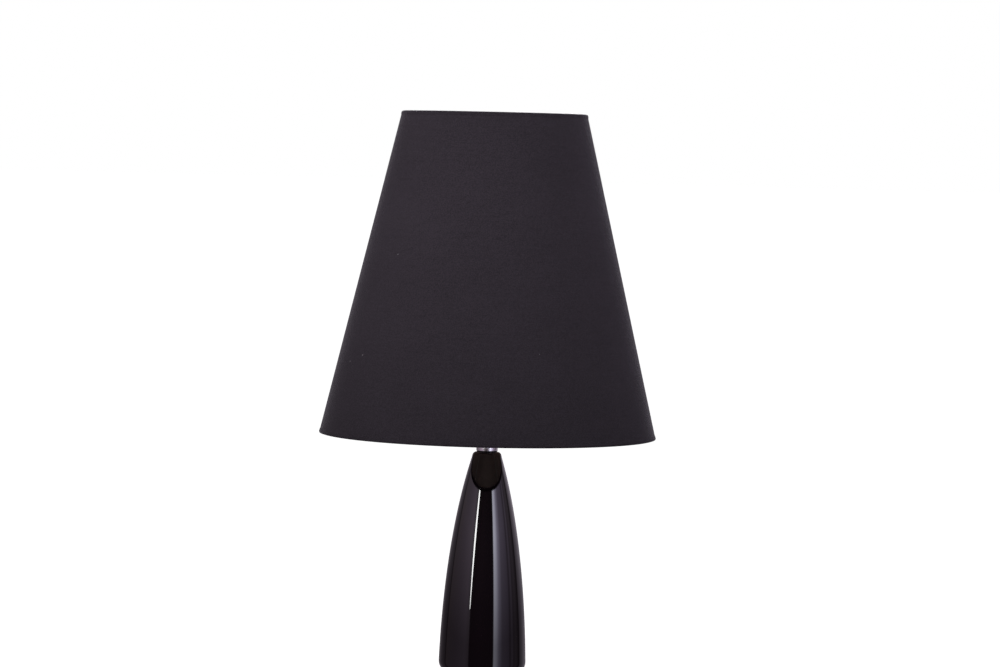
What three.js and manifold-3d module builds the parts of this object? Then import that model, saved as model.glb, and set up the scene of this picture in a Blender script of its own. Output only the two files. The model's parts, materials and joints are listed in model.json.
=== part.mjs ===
// Table lamp with a glazed ceramic base, a chrome neck and a tapered fabric shade.
// Millimetres, +Z up, origin on the axis at the underside of the foot, -Y is the front.
// One named mesh per physical piece, grouped as the lamp comes apart on a bench.

import * as THREE from "three";
import { mergeVertices } from "three/addons/utils/BufferGeometryUtils.js";
import Module from "manifold-3d";

const wasm = await Module();
wasm.setup();

// ---- driving dimensions -----------------------------------------------------

const gap = 0.3; // clearance between pieces that touch
const round = 40; // facets around the large turned pieces
const small = 24; // facets around the small turned pieces

const shadeHeight = 334.6;
const shadeBottomZ = 249;
const shadeTopZ = shadeBottomZ + shadeHeight;
const shadeBottomR = 175;
const shadeTopR = 96.2;
const hemThick = 0.5;
const hemTall = 4.2;
const coverThick = 0.7;
const linerThick = 0.6;
const layerGap = 0.2; // between the layers of the shade
const ringWireR = 1.6;

const feltThick = 1.5;
const footR = 32.7;
const bodyEdge = 12.5; // radius of the rounded lower edge of the body
const bodyMaxR = footR + bodyEdge;
const bodyTopZ = 232.4;
const bodyTopR = 12.1;
const shoulderEdge = 3.2;
const wall = 5.5;
const recessR = 28;
const ledgeZ = 11; // underside of the ledge that the base plate bears on
const ledgeR = 24;
const ledgeThick = 6;
const bossDeep = 9; // solid clay around the pipe at the top of the body

const tubeR = 5; // M10 pipe
const tubeBoreR = 3.7;
const slotZ = 42; // middle of the slot that lets the leads into the pipe
const tubeTopZ = 253.4;
const pipeHoleR = tubeR + gap; // hole in each piece that the pipe goes through
const plateThick = 3;
const nutR = 9;

const outletZ = 28; // height of the supply cord's outlet
const outletR = 3.3;

const neckR = 11.15;
const neckBottomZ = bodyTopZ + 1;
const neckTopZ = 247;

const capBottomZ = 247.3;
const capTopZ = 273.5;
const capR = 21.8;
const barZ = 260.8; // axis of the push bar of the switch
const barR = 2.8;
const buttonR = 3;
const barTravel = 6;
const bridgeX = barTravel / 2; // contact bridge on the bar, at rest
const insertBottomZ = 264.3;
const insertTopZ = 277;
const wellDeep = 8; // the plunger's well in the insert
const flangeZ = 278;
const flangeR = 27;
const skirtR = 19.8;
const skirtBoreR = 15.2;
const skirtTopZ = 303;
const shellR = 14.2;
const fitterZ = 280.9;
const fitterR = 27.5;
const fitterThick = 1.5;
const washerThick = 0.8;
const ringR = 28; // collar that clamps the shade
const ringTall = 6;

const bulbBottomZ = 280;
const bulbCapTopZ = 305;
const bulbCapR = 13.1;
const bulbR = 30;
const glassThick = 1;
const bulbTopZ = 388;
const tipTall = 1.2; // solder tip under the bulb's cap

const wireR = 1; // insulated lead
const armR = 2; // wire of the shade carrier

// ---- materials --------------------------------------------------------------

const finish = (color, roughness, metalness = 0) =>
  new THREE.MeshStandardMaterial({ color, roughness, metalness });

const glaze = finish(0x0b090a, 0.06);
const chrome = finish(0xdfe2e4, 0.06, 1);
const zinc = finish(0xa9acae, 0.35, 1);
const brass = finish(0xc2a05a, 0.3, 1);
const blackPlastic = finish(0x141314, 0.3);
const whitePlastic = finish(0xe4e1d8, 0.45);
const porcelain = finish(0xece8de, 0.2);
const rubber = finish(0x161616, 0.75);
const felt = finish(0x17181a, 0.95);
const fibre = finish(0x3a2a22, 0.8);
const blackFabric = finish(0x27232a, 0.9);
const goldLining = finish(0xa9824a, 0.42, 0.6);
const whiteWire = finish(0xe9e7e2, 0.45, 0.1);
const frosted = finish(0xf4f2ec, 0.3);
const vitrite = finish(0x0d0d10, 0.12);
const brownLead = finish(0x5a3420, 0.5);
const blueLead = finish(0x2b5f9e, 0.5);
const earthLead = finish(0x6f9a3a, 0.5);

// ---- geometry helpers -------------------------------------------------------

/** Turned solid about Z. The profile is a list of [radius, height]. */
function turned(profile, facets = small) {
  const points = profile.map(([r, z]) => new THREE.Vector2(r, z));
  return new THREE.LatheGeometry(points, facets).rotateX(Math.PI / 2);
}

/** Turned ring about Z whose profile closes on itself. */
function turnedRing(profile, facets = small) {
  return turned([...profile, profile[0]], facets);
}

/** Flat ring with square edges. */
function washer(innerR, outerR, z0, z1, facets = small) {
  return turnedRing([[innerR, z0], [outerR, z0], [outerR, z1], [innerR, z1]], facets);
}

/** Solid disc about Z. */
function disc(r, z0, z1, facets = small) {
  return turned([[0, z0], [r, z0], [r, z1], [0, z1]], facets);
}

/** Points of an arc as [radius, height], angles in degrees from the +r direction. */
function arc(centreR, centreZ, radius, from, to, steps) {
  return Array.from({ length: steps + 1 }, (_, i) => {
    const a = THREE.MathUtils.degToRad(from + ((to - from) * i) / steps);
    return [centreR + radius * Math.cos(a), centreZ + radius * Math.sin(a)];
  });
}

/** Round bar along a curve. */
function roundBar(curve, radius, steps, sides = 8) {
  const section = new THREE.Shape();
  section.absarc(0, 0, radius, 0, 2 * Math.PI);
  return new THREE.ExtrudeGeometry(section, {
    extrudePath: curve,
    steps,
    curveSegments: sides,
    bevelEnabled: false,
  });
}

const curveThrough = (points) =>
  new THREE.CatmullRomCurve3(points.map((p) => new THREE.Vector3(...p)), false, "centripetal");

const box = (x, y, z, at) => new THREE.BoxGeometry(x, y, z).translate(...at);

const pinZ = (r, height, at, facets = 12) =>
  new THREE.CylinderGeometry(r, r, height, facets).rotateX(Math.PI / 2).translate(...at);

const pinY = (r, length, at, facets = 16) =>
  new THREE.CylinderGeometry(r, r, length, facets).translate(...at);

const pinX = (r, length, at, facets = 16) =>
  new THREE.CylinderGeometry(r, r, length, facets).rotateZ(Math.PI / 2).translate(...at);

/** Manifold solid of a closed three.js geometry. */
function solid(geometry) {
  const bare = geometry.clone();
  bare.deleteAttribute("normal");
  bare.deleteAttribute("uv");
  const merged = mergeVertices(bare, 1e-4);
  return new wasm.Manifold(
    new wasm.Mesh({
      numProp: 3,
      vertProperties: Float32Array.from(merged.attributes.position.array),
      triVerts: Uint32Array.from(merged.index.array),
    }),
  );
}

/** Geometry of a manifold solid. */
function geometryOf(manifold) {
  const mesh = manifold.getMesh();
  const out = new THREE.BufferGeometry();
  out.setAttribute("position", new THREE.BufferAttribute(mesh.vertProperties, 3));
  out.setIndex(new THREE.BufferAttribute(mesh.triVerts, 1));
  out.computeVertexNormals();
  return out;
}

/** The first geometry with all the others cut out of it. */
const cut = (geometry, ...tools) =>
  geometryOf(tools.reduce((left, tool) => left.subtract(solid(tool)), solid(geometry)));

function piece(name, geometry, material) {
  const mesh = new THREE.Mesh(geometry, material);
  mesh.name = name;
  return mesh;
}

function group(...children) {
  const g = new THREE.Group();
  g.add(...children);
  return g;
}

// ---- base -------------------------------------------------------------------

/** Slim flared outline of the body from the top of its rounded edge to the shoulder. */
const flank = new THREE.CubicBezierCurve(
  new THREE.Vector2(bodyMaxR, feltThick + gap + bodyEdge),
  new THREE.Vector2(43.4, 85.4),
  new THREE.Vector2(34.1, 167.2),
  new THREE.Vector2(bodyTopR + shoulderEdge, bodyTopZ - shoulderEdge),
);

function ceramicBody() {
  const footZ = feltThick + gap;
  const outside = flank.getPoints(9).map((p) => [p.x, p.y]);
  const lowest = ledgeZ + ledgeThick;
  const inside = outside
    .filter(([, z]) => z > lowest + 4 && z < bodyTopZ - 15)
    .map(([r, z]) => [r - wall, z])
    .reverse();
  const profile = [
    ...arc(footR, footZ + bodyEdge, bodyEdge, -90, 0, 5),
    ...outside.slice(1, -1),
    ...arc(bodyTopR, bodyTopZ - shoulderEdge, shoulderEdge, 16, 90, 3),
    [pipeHoleR, bodyTopZ],
    [pipeHoleR, bodyTopZ - bossDeep],
    [nutR + 1, bodyTopZ - bossDeep],
    ...inside,
    [bodyMaxR - wall, lowest],
    [ledgeR, lowest],
    [ledgeR, ledgeZ],
    [recessR, ledgeZ],
    [recessR, footZ],
  ];
  const outlet = pinY(outletR + 2.8, 30, [0, bodyMaxR, outletZ], 24);
  return piece("ceramic_body", cut(turnedRing(profile, round), outlet), glaze);
}

const feltBase = () => piece("felt_base", disc(footR, 0, feltThick, round), felt);

function basePlate() {
  const top = ledgeZ - gap;
  return piece("base_plate", washer(pipeHoleR, recessR - gap, top - plateThick, top), zinc);
}

/** Threaded pipe that clamps the lamp together, slotted at the front for the leads. */
function threadedTube() {
  const tube = washer(tubeBoreR, tubeR, 2.6, tubeTopZ);
  const slot = box(5.2, 8, 16, [0, -5, slotZ]);
  return piece("threaded_tube", cut(tube, slot), zinc);
}

const lockWasher = () => piece("lock_washer", washer(pipeHoleR, nutR, 6.8, 7.4), zinc);

/** Hexagonal nut on the pipe. */
const hexNut = (name, z0, z1) =>
  piece(name, cut(disc(nutR, z0, z1, 6), pinZ(pipeHoleR, 12, [0, 0, z0], small)), zinc);

function cordGrommet() {
  const inner = bodyMaxR - wall;
  const profile = [
    [outletR, inner - 4.2],
    [7.5, inner - 4.2],
    [7.5, inner - 2],
    [outletR + 2.4, inner - 1.4],
    [outletR + 2.4, bodyMaxR + 0.2],
    [9, bodyMaxR + 0.2],
    [8.2, bodyMaxR + 2.4],
    [outletR, bodyMaxR + 2.8],
  ];
  const geometry = turnedRing(profile).rotateX(-Math.PI / 2).translate(0, 0, outletZ);
  return piece("cord_grommet", geometry, rubber);
}

const blockY = -15; // the terminal block sits in front of the pipe, the clamp behind it
const wayX = [-7, 0, 7];
const clampX = [-8.4, 8.4];
const clampY = 15;
const blockZ0 = ledgeZ;
const blockDeep = 9;
const blockTall = 10;
const blockFaceY = blockY + blockDeep / 2 + gap;
const wayZ = blockZ0 + 4.5;

function terminalBlock() {
  const body = box(22, blockDeep, blockTall, [0, blockY, blockZ0 + blockTall / 2]);
  const ways = wayX.map((x) => pinY(1.6, 20, [x, blockY, wayZ], 12));
  const wells = wayX.map((x) => pinZ(1.9, 8, [x, blockY, blockZ0 + 9], 12));
  return piece("terminal_block", cut(body, ...ways, ...wells), whitePlastic);
}

const blockScrew = (x, i) =>
  piece(`block_screw_${i + 1}`, pinZ(1.6, 3, [x, blockY, blockZ0 + 8.1]), zinc);

/** Saddle clamp that grips the supply cord behind the pipe. */
function cordClamp() {
  const shape = new THREE.Shape();
  shape.moveTo(-11, 0);
  shape.lineTo(11, 0);
  shape.lineTo(11, 2);
  shape.lineTo(5.6, 2);
  shape.lineTo(5.6, 4.6);
  shape.absarc(0, 4.6, 5.6, 0, Math.PI);
  shape.lineTo(-5.6, 2);
  shape.lineTo(-11, 2);
  const hole = new THREE.Path();
  hole.absarc(0, 4.8, outletR, 0, 2 * Math.PI, true);
  shape.holes.push(hole);
  const body = new THREE.ExtrudeGeometry(shape, { depth: 6, bevelEnabled: false, curveSegments: 8 })
    .rotateX(Math.PI / 2)
    .translate(0, clampY + 3, ledgeZ);
  const holes = clampX.map((x) => pinZ(1.4, 8, [x, clampY, ledgeZ + 1]));
  return piece("cord_clamp", cut(body, ...holes), whitePlastic);
}

const clampScrew = (x, i) =>
  piece(`clamp_screw_${i + 1}`, disc(2.2, 0, 1.6, 12).translate(x, clampY, ledgeZ + 2.2), zinc);

/** Ring tongue that earths the pipe and the plate. */
function earthTag() {
  const eye = solid(washer(pipeHoleR, 8.6, ledgeZ - gap / 2, ledgeZ + 0.7));
  const tail = solid(box(8, 4, 0.85, [-11.6, 0, ledgeZ + 0.275]));
  return piece("earth_tag", geometryOf(eye.add(tail)), brass);
}

// ---- leads held inside the lamp ---------------------------------------------

/** Lead from a way of the block, through the slot and the pipe, to the lampholder. side is -1 or 1. */
function supplyLead(name, way, side, material) {
  const inPipe = side * 1.25;
  const route = [
    [way, blockFaceY, wayZ],
    [way, blockFaceY + 1.6, wayZ + 0.9],
    [way, blockFaceY + 2.2, wayZ + 5.5],
    [side * 2, -7.6, slotZ - 12],
    [inPipe, -5.5, slotZ - 3],
    [inPipe, -1.6, slotZ + 3.5],
    [inPipe, 0, slotZ + 12],
    [inPipe, 0, 110],
    [inPipe, 0, 180],
    [inPipe, 0, 245],
    [side * 1.3, side * 0.5, tubeTopZ - 0.6],
    [side * 2, side * 4, tubeTopZ + 1.5],
    [side * 2.8, side * 8.4, tubeTopZ + 2.6],
    [side * 3.4, side * 9.8, tubeTopZ + 6.6],
    [side * 3.4, side * 9.8, insertBottomZ - 1.1],
  ];
  return piece(name, roundBar(curveThrough(route), wireR, 52, 3), material);
}

/** Short lead from the block's first way to the earth tag. */
function tagLead() {
  const way = wayX[0];
  const route = [
    [way, blockFaceY, wayZ],
    [way - 1, blockFaceY + 2.6, blockZ0 + 6],
    [-11, -5.6, blockZ0 + 7],
    [-13, -2.4, blockZ0 + 5],
    [-13.4, -0.6, blockZ0 + 2.2],
  ];
  return piece("lead_earth", roundBar(curveThrough(route), wireR, 12, 3), earthLead);
}

// ---- neck -------------------------------------------------------------------

const neckGasket = () =>
  piece("neck_gasket", washer(pipeHoleR, neckR - 0.6, bodyTopZ + 0.1, neckBottomZ - 0.1), rubber);

function neckFerrule() {
  const profile = [
    [neckR - 1.4, neckBottomZ],
    [neckR, neckBottomZ],
    [neckR, neckTopZ - 0.8],
    [neckR - 0.8, neckTopZ],
    [pipeHoleR, neckTopZ],
    [pipeHoleR, neckTopZ - 2],
    [neckR - 1.4, neckTopZ - 2],
  ];
  return piece("neck_ferrule", turnedRing(profile), chrome);
}

// ---- lampholder -------------------------------------------------------------

function holderCap() {
  const profile = [
    [pipeHoleR, capBottomZ],
    [neckR + 0.4, capBottomZ],
    [neckR + 1.2, capBottomZ + 3],
    [neckR + 4.6, capBottomZ + 6.2],
    [capR - 1.6, capBottomZ + 9.6],
    [capR, capBottomZ + 13],
    [capR, capTopZ],
    [capR - 2, capTopZ],
    [capR - 2, capBottomZ + 13.4],
    [capR - 3.6, capBottomZ + 11],
    [neckR + 2.6, capBottomZ + 7.4],
    [neckR - 0.8, capBottomZ + 3],
    [pipeHoleR, capBottomZ + 3],
  ];
  const barHole = pinX(barR + 0.5, 60, [0, 0, barZ]);
  return piece("holder_cap", cut(turnedRing(profile), barHole), blackPlastic);
}

function switchHousing() {
  const body = box(20, 12, 7.1, [0, 0, barZ - 0.25]);
  const barHole = pinX(barR + 0.35, 30, [0, 0, barZ]);
  const chamber = box(10, 8.6, 7, [0, 0, barZ + 0.3]);
  return piece("switch_housing", cut(body, barHole, chamber), whitePlastic);
}

/** Push bar with a button at each end. At rest it is pushed home on the left: on. */
function switchBar() {
  const left = -capR - 3.2;
  const right = capR + 3.2 + barTravel;
  const profile = [
    [0, left],
    [buttonR - 0.8, left],
    [buttonR - 0.3, left + 0.8],
    [barR, left + 2.4],
    [barR, bridgeX - 0.9],
    [1.4, bridgeX - 0.9],
    [1.4, bridgeX + 0.9],
    [barR, bridgeX + 0.9],
    [barR, right - 2.4],
    [buttonR - 0.3, right - 0.8],
    [buttonR - 0.8, right],
    [0, right],
  ];
  const geometry = turned(profile, 16).rotateY(Math.PI / 2).translate(0, 0, barZ);
  return piece("switch_bar", geometry, blackPlastic);
}

/** Brass bridge that sits in the groove of the bar. */
function switchContact() {
  const ring = washer(1.7, 2.95, -0.5, 0.5, 12).rotateY(Math.PI / 2);
  return piece("switch_contact", ring.translate(bridgeX, 0, barZ), brass);
}

function contactInsert() {
  const well = insertTopZ - wellDeep;
  const profile = [
    [0, insertBottomZ],
    [17.6, insertBottomZ],
    [17.6, insertTopZ - 3],
    [15, insertTopZ],
    [4, insertTopZ],
    [4, well],
    [0, well],
  ];
  return piece("contact_insert", turned(profile), porcelain);
}

const terminalScrew = (side, i) =>
  piece(`terminal_screw_${i + 1}`, pinZ(2.2, 1.4, [side * -3.6, side * 9, insertBottomZ - 1]), brass);

/** Sprung plunger under the bulb's tip. */
function centreContact() {
  const top = bulbBottomZ - gap;
  const profile = [
    [0, top - 5.2],
    [1.6, top - 5.2],
    [1.6, top - 3.2],
    [3.6, top - 3.2],
    [3.6, top - 1],
    [2.6, top],
    [0, top],
  ];
  return piece("centre_contact", turned(profile, 16), brass);
}

class Helix extends THREE.Curve {
  constructor(radius, turns, z0, z1) {
    super();
    Object.assign(this, { radius, turns, z0, z1 });
  }

  getPoint(t, target = new THREE.Vector3()) {
    const a = 2 * Math.PI * this.turns * t;
    const z = this.z0 + (this.z1 - this.z0) * t;
    return target.set(this.radius * Math.cos(a), this.radius * Math.sin(a), z);
  }
}

function contactSpring() {
  const foot = insertTopZ - wellDeep + gap;
  const helix = new Helix(2.6, 4, foot + 0.3, bulbBottomZ - gap - 3.2 - 0.6);
  return piece("contact_spring", roundBar(helix, 0.3, 44, 3), zinc);
}

/** Threaded shell that takes the bulb's cap, with its turned-in foot. */
function screwShell() {
  const foot = insertTopZ + gap;
  const top = skirtTopZ - 4;
  const profile = [
    [10.4, foot],
    [shellR, foot],
    [shellR, top],
    [shellR - 0.7, top],
    [shellR - 0.7, foot + 0.6],
    [10.4, foot + 0.6],
  ];
  return piece("screw_shell", turnedRing(profile), brass);
}

/** Outer shell of the lampholder: a flange for the shade and a threaded barrel above it. */
function holderSkirt() {
  const profile = [
    [capR - 2, capTopZ + gap],
    [capR, capTopZ + gap],
    [capR, flangeZ - 1.2],
    [flangeR, flangeZ],
    [flangeR, fitterZ - 0.4],
    [skirtR, fitterZ - 0.4],
    [skirtR, skirtTopZ - 1.5],
    [skirtR - 1.2, skirtTopZ],
    [skirtBoreR + 1, skirtTopZ],
    [skirtBoreR, skirtTopZ - 1],
    [skirtBoreR, flangeZ + 1],
    [capR - 3, flangeZ - 1],
  ];
  return piece("holder_skirt", turnedRing(profile), blackPlastic);
}

function ringWasher() {
  const z = fitterZ + fitterThick + gap;
  return piece("ring_washer", washer(skirtR + 0.5, 25, z, z + washerThick), fibre);
}

/** Threaded collar that clamps the shade's carrier on the flange, with finger grooves. */
function shadeRing() {
  const z = fitterZ + fitterThick + 2 * gap + washerThick;
  const grooves = 12;
  const body = turnedRing([
    [skirtR + 0.4, z],
    [ringR - 0.8, z],
    [ringR, z + 0.8],
    [ringR, z + ringTall - 0.8],
    [ringR - 0.8, z + ringTall],
    [skirtR + 0.4, z + ringTall],
  ]);
  const cutters = Array.from({ length: grooves }, (_, i) => {
    const a = (2 * Math.PI * (i + 0.5)) / grooves;
    const r = ringR + 0.6;
    return pinZ(1.3, 12, [r * Math.cos(a), r * Math.sin(a), z + ringTall / 2], 6);
  });
  return piece("shade_ring", cut(body, ...cutters), blackPlastic);
}

// ---- bulb -------------------------------------------------------------------

/** Solid disc about Z whose side leans out from one radius to another. */
const button = (r0, r1, z0, z1) => turned([[0, z0], [r0, z0], [r1, z1], [0, z1]]);

const bulbTip = () =>
  piece("bulb_tip", button(3.4, 4.6, bulbBottomZ, bulbBottomZ + tipTall), zinc);

function bulbInsulator() {
  const z = bulbBottomZ + tipTall + gap;
  return piece("bulb_insulator", button(5.4, 10.4, z, z + 3.6), vitrite);
}

function bulbCap() {
  const z = bulbBottomZ + tipTall + 4.2;
  const profile = [
    [9.8, z],
    [10.6, z],
    [bulbCapR, z + 2],
    [bulbCapR, bulbCapTopZ - 4],
    [12.8, bulbCapTopZ],
    [12.3, bulbCapTopZ],
    [12.3, z + 2.2],
    [9.8, z + 1],
  ];
  return piece("bulb_cap", turnedRing(profile), zinc);
}

/** Pear-shaped hollow globe, open at the neck inside the cap. */
function bulbGlobe() {
  const centreZ = bulbTopZ - bulbR;
  const outside = (t) => [
    [11.6 - t, bulbCapTopZ - 6],
    [12 - t, bulbCapTopZ + 2],
    [14.6 - t, bulbCapTopZ + 12],
    ...arc(0, centreZ, bulbR - t, -32, 80, 7),
  ];
  const crown = (t) => [0, centreZ + bulbR - t];
  const profile = [...outside(0), crown(0), crown(glassThick), ...outside(glassThick).reverse()];
  return piece("bulb_globe", turnedRing(profile), frosted);
}

// ---- shade ------------------------------------------------------------------

/** Radius of the outermost surface of the shade at a height. */
const shadeR = (z) =>
  shadeBottomR + ((shadeTopR - shadeBottomR) * (z - shadeBottomZ)) / shadeHeight;

const coverOut = hemThick + layerGap;
const coverIn = coverOut + coverThick;
const linerOut = coverIn + layerGap;
const linerIn = linerOut + linerThick;
const ringWireOut = linerIn + layerGap;
const hemIn = ringWireOut + 2 * ringWireR + 2 * layerGap;

/** Conical skin between two offsets inside the shade's outermost surface. */
function skin(name, outer, inner, margin, material) {
  const z0 = shadeBottomZ + margin;
  const z1 = shadeTopZ - margin;
  const profile = [
    [shadeR(z0) - inner, z0],
    [shadeR(z0) - outer, z0],
    [shadeR(z1) - outer, z1],
    [shadeR(z1) - inner, z1],
  ];
  return piece(name, turnedRing(profile, round), material);
}

/** Folded edge tape around a rim. up is 1 at the bottom rim and -1 at the top one. */
function hem(name, rimZ, up) {
  const at = (inset, rise) => [shadeR(rimZ + up * rise) - inset, rimZ + up * rise];
  const profile = [
    at(0, hemTall),
    at(0, 0.8),
    at(0.8, 0),
    at(hemIn - 0.3, 0),
    at(hemIn + hemThick, 0.8),
    at(hemIn + hemThick, hemTall),
    at(hemIn, hemTall),
    at(hemIn, hemThick),
    at(hemThick, hemThick),
    at(hemThick, hemTall),
  ];
  return piece(name, turnedRing(up > 0 ? profile.reverse() : profile, round), blackFabric);
}

/** Wire ring inside a rim. */
function ringWire(name, rimZ, up) {
  const z = rimZ + up * (hemThick + layerGap + ringWireR);
  const r = shadeR(z) - ringWireOut - ringWireR;
  return piece(name, turnedRing(arc(r, z, ringWireR, 0, 300, 5), round), whiteWire);
}

const carrierTopZ = fitterZ + fitterThick / 2;

const fitterRing = () =>
  piece("fitter_ring", washer(skirtR + 0.8, fitterR, fitterZ, fitterZ + fitterThick), whiteWire);

/** Arm from the fitter ring out and down to the bottom wire ring. */
function carrierArm(i) {
  const ringZ = shadeBottomZ + hemThick + layerGap + ringWireR;
  const end = shadeR(ringZ) - hemIn - hemThick - armR;
  const lowZ = shadeBottomZ + hemTall + armR + 1;
  const path = new THREE.CubicBezierCurve3(
    new THREE.Vector3(fitterR + gap, 0, carrierTopZ),
    new THREE.Vector3(60, 0, carrierTopZ),
    new THREE.Vector3(110, 0, lowZ),
    new THREE.Vector3(end, 0, lowZ),
  );
  const angle = Math.PI / 2 + (2 * Math.PI * i) / 3;
  return piece(`carrier_arm_${i + 1}`, roundBar(path, armR, 12, 4).rotateZ(angle), whiteWire);
}

// ---- the lamp ---------------------------------------------------------------

const base = group(
  ceramicBody(),
  feltBase(),
  basePlate(),
  threadedTube(),
  lockWasher(),
  hexNut("bottom_nut", 3.6, 6.5),
  earthTag(),
  hexNut("earth_nut", ledgeZ + 1, ledgeZ + 3.6),
  cordGrommet(),
  terminalBlock(),
  ...wayX.map(blockScrew),
  cordClamp(),
  ...clampX.map(clampScrew),
  supplyLead("lead_live", wayX[1], -1, brownLead),
  supplyLead("lead_neutral", wayX[2], 1, blueLead),
  tagLead(),
);

const neck = group(neckGasket(), neckFerrule());

const lampholder = group(
  holderCap(),
  hexNut("cap_nut", capBottomZ + 3.3, capBottomZ + 5.8),
  switchHousing(),
  switchBar(),
  switchContact(),
  contactInsert(),
  ...[-1, 1].map(terminalScrew),
  centreContact(),
  contactSpring(),
  screwShell(),
  holderSkirt(),
  ringWasher(),
  shadeRing(),
);

const bulb = group(bulbTip(), bulbInsulator(), bulbCap(), bulbGlobe());

const shade = group(
  skin("shade_cover", coverOut, coverIn, hemThick + layerGap, blackFabric),
  skin("shade_liner", linerOut, linerIn, hemThick + layerGap, goldLining),
  hem("bottom_hem", shadeBottomZ, 1),
  hem("top_hem", shadeTopZ, -1),
  ringWire("bottom_ring_wire", shadeBottomZ, 1),
  ringWire("top_ring_wire", shadeTopZ, -1),
  fitterRing(),
  ...[0, 1, 2].map(carrierArm),
);

const lamp = group(base, neck, lampholder, bulb, shade);

export default lamp;
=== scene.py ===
import json
import math

import bmesh
import bpy
from mathutils import Matrix, Vector

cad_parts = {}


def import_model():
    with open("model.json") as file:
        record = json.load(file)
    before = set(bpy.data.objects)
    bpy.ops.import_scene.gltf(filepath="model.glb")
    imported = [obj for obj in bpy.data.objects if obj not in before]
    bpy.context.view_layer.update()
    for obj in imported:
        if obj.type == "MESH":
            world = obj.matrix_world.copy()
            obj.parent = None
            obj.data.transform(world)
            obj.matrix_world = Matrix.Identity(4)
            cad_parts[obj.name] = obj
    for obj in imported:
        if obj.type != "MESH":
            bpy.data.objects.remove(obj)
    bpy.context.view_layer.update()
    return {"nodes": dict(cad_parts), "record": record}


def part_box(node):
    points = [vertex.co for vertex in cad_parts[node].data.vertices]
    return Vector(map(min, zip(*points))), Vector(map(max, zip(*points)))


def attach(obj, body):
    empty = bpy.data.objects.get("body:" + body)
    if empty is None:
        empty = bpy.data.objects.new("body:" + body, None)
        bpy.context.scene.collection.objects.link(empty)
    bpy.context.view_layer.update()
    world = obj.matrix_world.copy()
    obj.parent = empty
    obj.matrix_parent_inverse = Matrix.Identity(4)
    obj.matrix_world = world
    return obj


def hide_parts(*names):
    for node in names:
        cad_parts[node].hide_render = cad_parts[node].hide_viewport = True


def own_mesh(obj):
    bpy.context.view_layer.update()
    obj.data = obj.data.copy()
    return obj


# Looks of a table lamp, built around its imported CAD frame. Metres, +Z up, the lamp's front faces -Y.

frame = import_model()

MM = 0.001
SAME_POINT = 1e-7  # m, two points nearer than this are one
SAME_RADIUS = 1e-6  # m, a point this near a thread's crest is on it
SHARP_ANGLE = math.radians(38)
STRAIGHT = math.radians(172)  # a corner flatter than this isn't rounded
SCREW_PITCH = 3.629 * MM  # of the bulb's cap and of the shell that it screws into

# ---- sizes from the frame ------------------------------------------------------

body_lo, body_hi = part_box("ceramic_body")
_, plate_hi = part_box("base_plate")
felt_lo, felt_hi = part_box("felt_base")
grommet_lo, grommet_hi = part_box("cord_grommet")
gasket_lo, gasket_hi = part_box("neck_gasket")
neck_lo, neck_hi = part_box("neck_ferrule")
cap_lo, cap_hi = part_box("holder_cap")
skirt_lo, skirt_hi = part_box("holder_skirt")
bar_lo, bar_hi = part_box("switch_bar")
insert_lo, insert_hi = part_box("contact_insert")
shell_lo, shell_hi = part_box("screw_shell")
plunger_lo, plunger_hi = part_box("centre_contact")
spring_lo, spring_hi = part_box("contact_spring")
washer_lo, washer_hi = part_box("ring_washer")
collar_lo, collar_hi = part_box("shade_ring")
fitter_lo, fitter_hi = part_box("fitter_ring")
tip_lo, tip_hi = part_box("bulb_tip")
vitrite_lo, vitrite_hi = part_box("bulb_insulator")
bulb_cap_lo, bulb_cap_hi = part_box("bulb_cap")
_, globe_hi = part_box("bulb_globe")
low_hem_lo, low_hem_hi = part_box("bottom_hem")
top_hem_lo, top_hem_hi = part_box("top_hem")
arm_lo, arm_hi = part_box("carrier_arm_1")

HEM_EASE = 0.8 * MM  # rounding at the rim, below the shade's widest point
CLOTH = 0.35 * MM
LINER_SHEET = 0.6 * MM
LAYER_GAP = 0.2 * MM
RING_WIRE_R = 1.6 * MM
ARM_R = 2 * MM
LAP = 9 * MM  # width of the glued overlap at the back
LAP_RISE = CLOTH + 0.05 * MM
RIPPLE = 0.03 * MM  # unevenness of the glued cloth

# how far each layer sits inside the shade's outermost surface
HEM_OUT = 0.1 * MM
COVER_OUT = HEM_OUT + CLOTH + 0.1 * MM
LINER_OUT = COVER_OUT + CLOTH + LAYER_GAP
RING_WIRE_OUT = 2.4 * MM
HEM_IN = RING_WIRE_OUT + 2 * RING_WIRE_R + 0.9 * MM

rim_z = low_hem_lo.z
crown_z = top_hem_hi.z
shade_taper = (low_hem_hi.x - top_hem_hi.x) / (top_hem_lo.z - rim_z - HEM_EASE)


def shade_r(z):
    """Radius of the shade's outermost surface at a height."""
    return low_hem_hi.x - shade_taper * (z - rim_z - HEM_EASE)


# ---- mesh helpers --------------------------------------------------------------


def add_mesh(name, verts, faces, body, slot, replaced):
    """A smooth mesh object that rides on a body and stands for a CAD node."""
    mesh = bpy.data.meshes.new(name)
    mesh.from_pydata([tuple(v) for v in verts], [], faces)
    bm = bmesh.new()
    bm.from_mesh(mesh)
    bmesh.ops.remove_doubles(bm, verts=bm.verts, dist=SAME_POINT)
    bmesh.ops.recalc_face_normals(bm, faces=bm.faces)
    bm.to_mesh(mesh)
    bm.free()
    mesh.validate()
    mesh.shade_smooth()
    mesh.set_sharp_from_angle(angle=SHARP_ANGLE)
    obj = bpy.data.objects.new(name, mesh)
    bpy.context.scene.collection.objects.link(obj)
    obj.data.materials.append(MATERIALS[slot])
    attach(obj, body)
    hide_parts(replaced)
    return obj


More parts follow.
